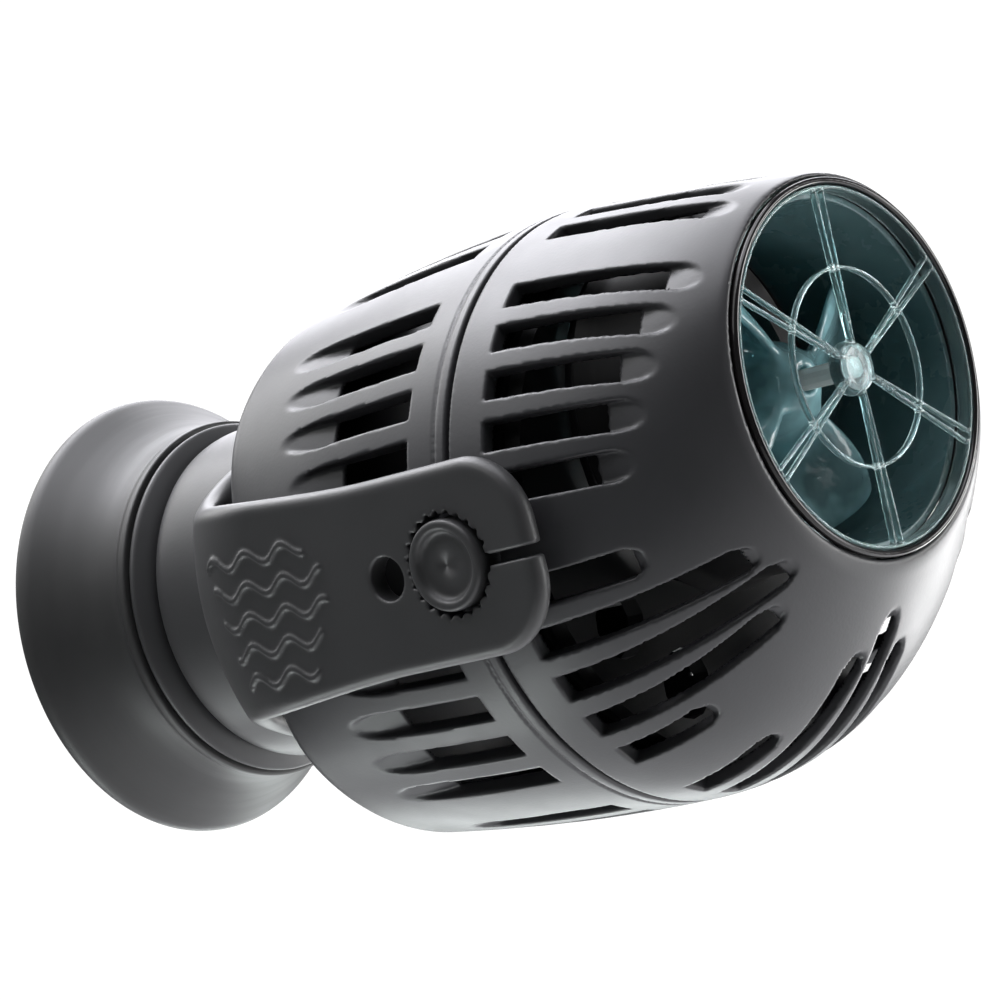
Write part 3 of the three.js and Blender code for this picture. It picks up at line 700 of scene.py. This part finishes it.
# Faces this near to the inner skin, and turned this far towards the axis, get painted shade.
PAINTED_SHADE_REACH, PAINTED_SHADE_TURN = 1.2, 0.3


def finish_piece(piece, body, slot, replaced):
    """Gives a piece its slot's material, its body and the CAD nodes that it stands for."""
    piece.data.materials.clear()
    piece.data.materials.append(MATERIALS[slot])
    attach(piece, body)
    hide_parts(*replaced)


def face_centres(piece):
    """Where each face is and which way it looks, in millimetres."""
    faces = piece.data.polygons
    centre = np.empty(len(faces) * 3)
    faces.foreach_get("center", centre)
    away = np.empty(len(faces) * 3)
    faces.foreach_get("normal", away)
    return centre.reshape(-1, 3) / MM, away.reshape(-1, 3)


def paint_faces_with(piece, painted_material, chosen):
    """Gives some of a piece's faces a second material, here painted shade or painted haze."""
    piece.data.materials.append(painted_material)
    piece.data.polygons.foreach_set("material_index", chosen.astype(np.int32))


def paint_shade_inside_shell(piece):
    """Paints shade on the inside of a casing shell: faces near its inner skin that turn towards the
    axis get near-black.
    """
    centre, away = face_centres(piece)
    x, y, z = centre.T
    radial = np.stack([0 * x, y, z], 1)
    inward = (radial * away).sum(1) < -PAINTED_SHADE_TURN * np.linalg.norm(radial, axis=1)
    skin = nose(x - SEAM_X, y, z) if x.mean() > SEAM_X else drum(SEAM_X - x, y, z)
    # Painted shade: the inner skin gets near-black so that the slots look dark inside.
    paint_faces_with(piece, MATERIALS["black_resin"], inward & (np.abs(skin + WALL) < PAINTED_SHADE_REACH))


def carried_nodes():
    """Gives every CAD node its slot's material."""
    for part in frame["record"]["subparts"]:
        piece = frame["nodes"][part["node"]]
        piece.data.materials.clear()
        piece.data.materials.append(MATERIALS[part["material_slot"]])
    # The motor can gets black plastic with painted teal haze on its front face.
    frame["nodes"]["motor_can"].data.materials[0] = MOTOR_WITH_PAINTED_HAZE


# ---- Pieces ---------------------------------------------------------------------------

# The front casing reaches further forward than its CAD node, and the lip further in and back.
NOSE_MARGIN = Vector((1.5, GRID_MARGIN, GRID_MARGIN))
LIP_MARGIN = Vector((1.5, 2.0, 2.5))


def casing_pieces():
    margin = Vector([GRID_MARGIN] * 3)
    front = moulded("front_casing", front_distance, low("front_shell") - margin,
                    high("front_shell") + NOSE_MARGIN, SHELL_STEP)
    finish_piece(front, "pump", "casing_plastic", ["front_shell"])
    # Painted shade goes on the inside of the front shell.
    paint_shade_inside_shell(front)
    rear = moulded("rear_casing", rear_distance, low("rear_shell") - margin,
                   high("rear_shell") + margin, SHELL_STEP)
    finish_piece(rear, "pump", "casing_plastic", ["rear_shell"])
    # Painted shade goes on the inside of the rear shell.
    paint_shade_inside_shell(rear)
    lip = moulded("outlet_lip", outlet_lip_distance, low("outlet_ring") - LIP_MARGIN,
                  high("outlet_ring") + margin, FINE_STEP)
    finish_piece(lip, "pump", "gloss_black", ["outlet_ring"])


def bracket_pieces():
    margin = Vector([GRID_MARGIN] * 3)
    fork = moulded("fork", fork_distance, low("bracket_fork") - margin,
                   high("bracket_fork") + margin, FORK_STEP)
    finish_piece(fork, "bracket", "bracket_plastic", ["bracket_fork"])


# The pins, measured out from the pump's middle plane: a flange, a stem and a dished head.
FLANGE_INNER, FLANGE_OUTER, HEAD_INNER = 27.5, 28.5, 34.4
FLANGE_RADIUS, STEM_RADIUS, HEAD_RADIUS = 3.8, 2.4, 5.0
# As near as an outline comes to the axis that it is turned about.
ON_AXIS = 0.01


def pin_pieces():
    corners = [
        (FLANGE_INNER, ON_AXIS, 0), (FLANGE_INNER, FLANGE_RADIUS, 0.2),
        (FLANGE_OUTER, FLANGE_RADIUS, 0.2), (FLANGE_OUTER, STEM_RADIUS, 0),
        (HEAD_INNER, STEM_RADIUS, 0), (HEAD_INNER, HEAD_RADIUS, 0),
        (ARM_OUTER_Y + 0.7, HEAD_RADIUS, 0.6), (ARM_OUTER_Y + 0.75, 4.0, 0.4),
        (ARM_OUTER_Y - 0.2, 3.5, 0.8), (ARM_OUTER_Y + 0.05, ON_AXIS, 0),
    ]
    for name, side in (("pivot_pin_near", -1), ("pivot_pin_far", 1)):
        pin = turned(name + "_head", corners, 96)
        turn = Matrix.Rotation(side * math.pi / 2, 4, "Z")
        pin.data.transform(Matrix.Translation((PIVOT_X * MM, 0, PIVOT_Z * MM)) @ turn)
        finish_piece(pin, "pump", "bracket_plastic", [name])


# The mount's outlines as (x, radius, fillet): the cup from its pad round the flared skirt, and
# the housing from its magnet pocket round the flange to the swivel boss.
CUP_OUTLINE = [
    (0.0, ON_AXIS, 0), (0.0, 12.0, 1.0), (1.8, 13.6, 1.5), (2.2, 21.0, 3.0), (0.5, 25.2, 0.8),
    (0.1, 26.3, 0.5), (1.0, 27.0, 0.6), (2.3, 26.9, 0.9), (5.6, 24.4, 3.0),
    (9.2, 22.3, 3.0), (12.6, 21.5, 1.2), (13.4, 21.9, 0.5), (14.4, 21.9, 0.4),
    (14.4, 17.0, 0), (3.0, 17.0, 0.5), (3.0, ON_AXIS, 0),
]
HOUSING_OUTLINE = [
    (12.0, ON_AXIS, 0), (12.0, 14.0, 0), (3.3, 14.0, 0), (3.3, 16.7, 0.3), (14.6, 16.7, 0),
    (14.7, 21.3, 0.3), (15.4, 21.4, 0.5), (16.6, 19.4, 0.8), (16.8, 17.2, 0.3),
    (16.8, 13.7, 0), (19.3, 13.7, 0.3), (19.3, 5.0, 0.3), (32.2, 5.0, 0.3),
    (32.2, 2.5, 0), (21.5, 2.5, 0), (21.5, ON_AXIS, 0),
]


def mount_pieces():
    cup = turned("cup_skirt", CUP_OUTLINE, 220, steps=9)
    finish_piece(cup, "mount", "cup_rubber", ["suction_cup"])
    housing = turned("housing_flange", HOUSING_OUTLINE, 160)
    finish_piece(housing, "mount", "bracket_plastic", ["magnet_housing"])


# ---- Outlet ---------------------------------------------------------------------------

GUARD_TURN = math.radians(28)
GUARD_SPOKES = 6
GUARD_RIM, GUARD_EDGE = 0.45, 0.35
GUARD_BACK, GUARD_FRONT = low("outlet_guard").x + 0.1, high("outlet_guard").x - 0.05
RING_RADIUS, RING_HALF = 10.95, 0.2
HUB_RADIUS, HUB_TAPER, HUB_STRAIGHT = 3.0, 0.5, 1.2
HUB_BORE, HUB_CAP = 2.5, 0.7
# Each spoke is a pair of thin ribs that spread apart towards the rim.
RIB_APART, RIB_SPREAD, RIB_HALF = 0.1, 0.03, 0.17
RIB_DEPTH, RIB_BLEND = 1.0, 0.3
RIB_START, RIB_END = 2.6, DUCT_RADIUS - 0.4


def guard_distance(x, y, z):
    z = z - OUTLET_RISE
    reach = np.hypot(y, z)
    front, back = high("outlet_guard").x, low("outlet_guard").x
    rim = slab(reach, DUCT_RADIUS - GUARD_RIM, DUCT_RADIUS)
    band = np.abs(reach - RING_RADIUS) - RING_HALF
    hub = reach - HUB_RADIUS + HUB_TAPER * np.maximum(x - back - HUB_STRAIGHT, 0)
    hub = np.maximum(hub, np.minimum(HUB_BORE - reach, front - HUB_CAP - x))
    spacing = 2 * math.pi / GUARD_SPOKES
    sector = (np.arctan2(z, y) - GUARD_TURN + spacing / 2) % spacing - spacing / 2
    across, along = reach * np.sin(sector), reach * np.cos(sector)
    rib = np.abs(np.abs(across) - RIB_APART - RIB_SPREAD * along) - RIB_HALF
    rib = np.maximum(rib, slab(along, RIB_START, RIB_END))
    thin = soft_max(soft_min(band, rib, RIB_BLEND), front - RIB_DEPTH - x, RIB_BLEND)
    lattice = soft_min(thin, soft_min(rim, hub, RIB_BLEND), RIB_BLEND)
    return soft_max(lattice, slab(x, GUARD_BACK, GUARD_FRONT), GUARD_EDGE)


BLADES = 4
PROPELLER_X = 96.0
BLADE_ROOT, BLADE_RADIUS, BLADE_HALF = 3.0, 17.4, 0.65
# The blades wind about the shaft from back to front, more so further out. They are longest
# along it at the widest radius.
TWIST, OUTER_TWIST, PITCH = 0.075, 0.0025, 0.1
BLADE_CHORD, CHORD_FALL, WIDEST = 6.8, 0.018, 9
BLADE_RAKE, RAKE_FROM = 0.05, 10
CHORD_EDGE, TIP_EDGE, ROOT_BLEND = 0.9, 0.8, 1.2
BOSS_RADIUS, BOSS_FRONT, BOSS_BACK = 5.5, 104.0, 89.6
BOSS_NOSE = (4.0, 7.0)
SLEEVE_RADIUS, SLEEVE_BACK, SLEEVE_FRONT = 3.5, 84.4, 95.0
SHAFT_BORE = 1.5


def propeller_distance(x, y, z):
    z = z - OUTLET_RISE
    reach = np.hypot(y, z)
    ahead = x - PROPELLER_X
    twist = ahead * (TWIST + OUTER_TWIST * reach)
    spacing = 2 * math.pi / BLADES
    sector = (np.arctan2(z, y) - twist + spacing / 2) % spacing - spacing / 2
    pitch = np.cos(np.arctan(reach * PITCH))
    blade = np.abs(sector * reach) * pitch - BLADE_HALF
    chord = BLADE_CHORD - CHORD_FALL * (reach - WIDEST) ** 2
    along = np.abs(ahead + BLADE_RAKE * (reach - RAKE_FROM)) - chord
    blade = soft_max(blade, along, CHORD_EDGE)
    blade = soft_max(blade, slab(reach, BLADE_ROOT, BLADE_RADIUS), TIP_EDGE)
    boss = oval_corner(reach - BOSS_RADIUS, x - BOSS_FRONT, *BOSS_NOSE)
    boss = np.maximum(boss, BOSS_BACK - x)
    sleeve = np.maximum(reach - SLEEVE_RADIUS, slab(x, SLEEVE_BACK, SLEEVE_FRONT))
    solid = soft_min(soft_min(boss, sleeve, 0.5), blade, ROOT_BLEND)
    return soft_max(solid, SHAFT_BORE - reach, 0.2)


DUCT_BACK, DUCT_FRONT = 88.4, 108.8
DUCT_WALL, DUCT_FLARE = 1, 1
# The duct stays black over this much of its outside; further in it gets painted teal haze.
DUCT_SKIN = 0.4


def outlet_pieces():
    margin = Vector([0.6] * 3)
    guard = moulded("guard", guard_distance, low("outlet_guard") - margin,
                    high("outlet_guard") + margin, FINE_STEP)
    finish_piece(guard, "pump", "clear_teal", ["outlet_guard"])
    wide = Vector((0.6, 0.9, 0.9))
    blades = moulded("propeller_blades", propeller_distance, low("propeller") - wide,
                     high("propeller") + wide, BLADE_STEP)
    finish_piece(blades, "rotor", "clear_teal", ["propeller"])
    blades.data.materials[0] = BLADE_MATERIAL
    inner, outer = DUCT_RADIUS - DUCT_WALL, DUCT_RADIUS
    duct = turned("duct", [
        (DUCT_BACK, outer + 0.3, 0.2), (90.2, inner, 0.8), (DUCT_FRONT, inner, 0.2),
        (DUCT_FRONT, outer, 0.2), (90.8, outer, 0.8), (DUCT_BACK, outer + DUCT_FLARE, 0.2),
    ], 120, (0, OUTLET_RISE))
    finish_piece(duct, "pump", "gloss_black", ["outlet_duct"])
    centre, away = face_centres(duct)
    reach = np.hypot(centre[:, 1], centre[:, 2] - OUTLET_RISE)
    # Painted haze: the duct's inside is coloured teal as if lit through the tinted guard and blades.
    paint_faces_with(duct, DUCT_PAINTED_HAZE, reach < outer - DUCT_SKIN)
    duct.data.materials[0] = MATERIALS["black_resin"]


carried_nodes()
casing_pieces()
bracket_pieces()
pin_pieces()
mount_pieces()
outlet_pieces()


# ---- Camera, light, floor -------------------------------------------------------------

# The camera's angles, how far it stands off to the side of the seam's middle, and how far back.
CAMERA_TURN = math.radians(48.62)
CAMERA_RISE = math.radians(0.36)
CAMERA_ROLL = math.radians(-14.21)
CAMERA_SHIFT = (17.45, 0.157)
CAMERA_DISTANCE = 505.4
LENS = 162.0


def add_camera():
    back = Vector((math.cos(CAMERA_TURN) * math.cos(CAMERA_RISE),
                   -math.sin(CAMERA_TURN) * math.cos(CAMERA_RISE), math.sin(CAMERA_RISE)))
    level = Vector((0, 0, 1)).cross(back).normalized()
    upright = back.cross(level)
    right = math.cos(CAMERA_ROLL) * level + math.sin(CAMERA_ROLL) * upright
    up = -math.sin(CAMERA_ROLL) * level + math.cos(CAMERA_ROLL) * upright
    seam = Vector((SEAM_X, 0, 0))
    spot = (seam - CAMERA_SHIFT[0] * right + CAMERA_SHIFT[1] * up + CAMERA_DISTANCE * back) * MM
    data = bpy.data.cameras.new("camera")
    data.lens = LENS
    data.sensor_width = 36.0
    data.clip_start = 0.01
    camera = bpy.data.objects.new("camera", data)
    turn = Matrix((right, up, back)).transposed().to_4x4()
    camera.matrix_world = Matrix.Translation(spot) @ turn
    bpy.context.scene.collection.objects.link(camera)
    bpy.context.scene.camera = camera


COOL, NEUTRAL, GREENISH = (0.95, 0.95, 1.0), (1.0, 1.0, 1.0), (0.93, 1.0, 0.98)
FAINT, SOFT, MEDIUM, STRONG = 0.6, 1.0, 1.8, 2.4
# Near the pump's middle, in metres: what every light points at.
LIGHT_TARGET = Vector((0.07, 0, 0))
# Soft boxes as (name, place from the target in metres, width, height, watts, tint).
LIGHTS = [
    ("over_head", (0.05, -0.05, 0.50), 0.40, 0.40, MEDIUM, COOL),
    ("over_left", (-0.30, 0.15, 0.50), 0.30, 0.30, MEDIUM, COOL),
    ("over_near", (-0.20, -0.05, 0.40), 0.20, 0.20, SOFT, COOL),
    ("high_left", (-0.40, 0.00, 0.30), 0.30, 0.30, SOFT, NEUTRAL),
    ("high_front", (-0.15, -0.30, 0.40), 0.40, 0.30, FAINT, NEUTRAL),
    ("behind", (-0.30, 0.40, 0.30), 0.40, 0.40, STRONG, COOL),
    ("right_strip", (0.42, 0.25, -0.05), 0.12, 0.50, SOFT, NEUTRAL),
    ("right_behind", (0.45, 0.35, 0.05), 0.20, 0.30, MEDIUM, NEUTRAL),
    ("far_right", (0.05, 0.50, -0.22), 0.30, 0.30, STRONG, NEUTRAL),
    ("far_below", (-0.25, 0.25, -0.35), 0.30, 0.30, MEDIUM, GREENISH),
    ("under_bounce", (-0.15, -0.10, -0.35), 0.30, 0.30, STRONG, GREENISH),
]


def add_lights():
    for name, place, width, height, watts, tint in LIGHTS:
        data = bpy.data.lights.new(name, "AREA")
        data.shape = "RECTANGLE"
        data.size, data.size_y = width, height
        data.energy = watts
        data.color = tint
        lamp = bpy.data.objects.new(name, data)
        lamp.location = LIGHT_TARGET + Vector(place)
        lamp.rotation_euler = (-Vector(place)).to_track_quat("-Z", "Y").to_euler()
        bpy.context.scene.collection.objects.link(lamp)


FILL_COLOUR, FILL_STRENGTH = (0.9, 0.95, 0.93, 1), 0.105
BACKDROP_STRENGTH = 1.1


def add_world():
    """A dim, even fill light, with a plain white backdrop where the camera sees past it all."""
    world = bpy.data.worlds.new("studio")
    bpy.context.scene.world = world
    world.use_nodes = True
    tree = world.node_tree
    background = tree.nodes["Background"]
    background.inputs["Color"].default_value = FILL_COLOUR
    background.inputs["Strength"].default_value = FILL_STRENGTH
    white = node(tree, "ShaderNodeBackground",
                 {"Color": (1, 1, 1, 1), "Strength": BACKDROP_STRENGTH})
    seen = node(tree, "ShaderNodeLightPath")
    mix = node(tree, "ShaderNodeMixShader")
    tree.links.new(seen.outputs["Is Camera Ray"], mix.inputs["Fac"])
    tree.links.new(background.outputs[0], mix.inputs[1])
    tree.links.new(white.outputs[0], mix.inputs[2])
    tree.links.new(mix.outputs[0], tree.nodes["World Output"].inputs["Surface"])


TABLE_RADIUS, TABLE_Z, TABLE_SIDES = 600, -300.0, 96


def add_floor():
    """A pale round table well below the pump, which hangs on the glass."""
    made, tree, shader = material("table_top")
    tree.links.new(ramp(tree, noise(tree, 12), [(0.3, (0.86, 0.86, 0.86)), (0.7, (0.9, 0.9, 0.9))]),
                   shader.inputs["Base Color"])
    shader.inputs["Roughness"].default_value = 0.8
    side = np.arange(TABLE_SIDES)
    angle = side * 2 * math.pi / TABLE_SIDES
    rim = np.stack([np.cos(angle) * TABLE_RADIUS, np.sin(angle) * TABLE_RADIUS,
                    np.full(TABLE_SIDES, TABLE_Z)], 1)
    points = np.vstack([rim, [[0, 0, TABLE_Z]]])
    faces = np.stack([side, (side + 1) % TABLE_SIDES, np.full(TABLE_SIDES, TABLE_SIDES)], 1)
    floor = mesh_object("table", points, faces)
    floor.data.materials.append(made)


add_camera()
add_lights()
add_world()
add_floor()
bpy.context.scene.view_settings.view_transform = "Standard"
